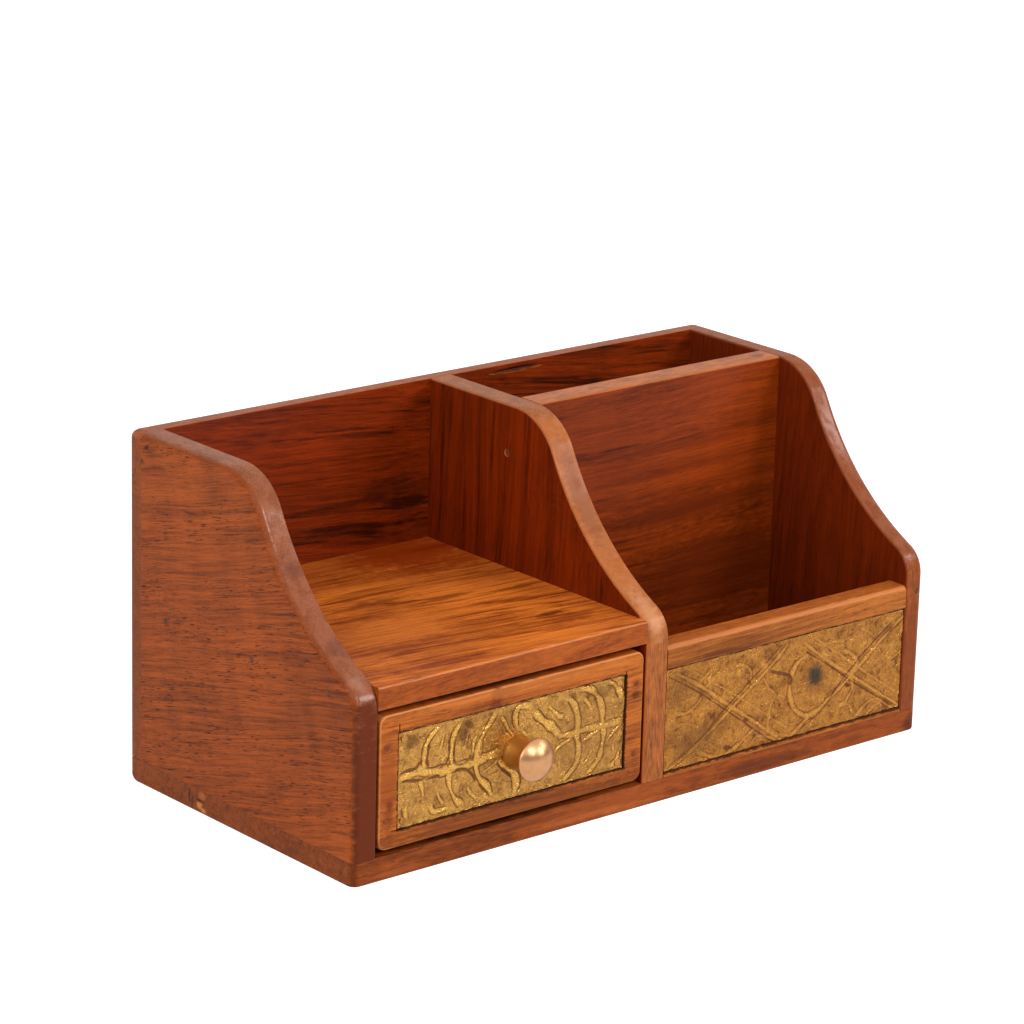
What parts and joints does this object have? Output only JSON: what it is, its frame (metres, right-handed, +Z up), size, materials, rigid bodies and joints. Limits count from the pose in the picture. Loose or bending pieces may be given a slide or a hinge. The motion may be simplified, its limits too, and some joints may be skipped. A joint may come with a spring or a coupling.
{
  "type": "pen stand with drawer",
  "caption": "Wooden desk organizer with an open tray over a slide-out drawer, a low-fronted bin and a tall pen slot, between S-curved uprights.",
  "frame": {"origin": "centre of the base board's underside, on the table", "axes": "+X to the right seen from the front, along the width; the front with the drawer's knob faces -Y; +Z up"},
  "size_m": [0.254, 0.1372, 0.1235],
  "materials": {
    "carcass_wood": "satin varnish",
    "drawer_wood": "satin varnish on the front, plain inside",
    "embossed_brass": "embossed, aged",
    "knob_brass": "satin",
    "brad_steel": "dull",
    "screw_steel": "zinc plated"
  },
  "bodies": {
    "carcass": {"base_board": "carcass_wood", "back_board": "carcass_wood", "left_panel": "carcass_wood", "centre_divider": "carcass_wood", "right_panel": "carcass_wood", "shelf_board": "carcass_wood", "pen_partition": "carcass_wood", "bin_front": "carcass_wood", "bin_brass_plate": "embossed_brass", "left_panel_brads": "brad_steel", "divider_left_brads": "brad_steel", "divider_right_brads": "brad_steel", "right_panel_brads": "brad_steel", "front_edge_brad": "brad_steel", "back_board_brads": "brad_steel", "base_brads": "brad_steel"},
    "drawer": {"drawer_front": "drawer_wood", "drawer_left_side": "drawer_wood", "drawer_right_side": "drawer_wood", "drawer_back": "drawer_wood", "drawer_bottom": "drawer_wood", "drawer_brass_plate": "embossed_brass", "drawer_front_brads": "brad_steel", "drawer_left_brads": "brad_steel", "drawer_right_brads": "brad_steel", "drawer_bottom_brads": "brad_steel", "drawer_plate_pins": "embossed_brass", "drawer_knob": "knob_brass", "knob_screw": "screw_steel"}
  },
  "joints": [
    {"name": "drawer_slide", "type": "slide", "parent": "carcass", "child": "drawer", "axis": [0, -1, 0], "range_m": [0, 0.085]}
  ]
}
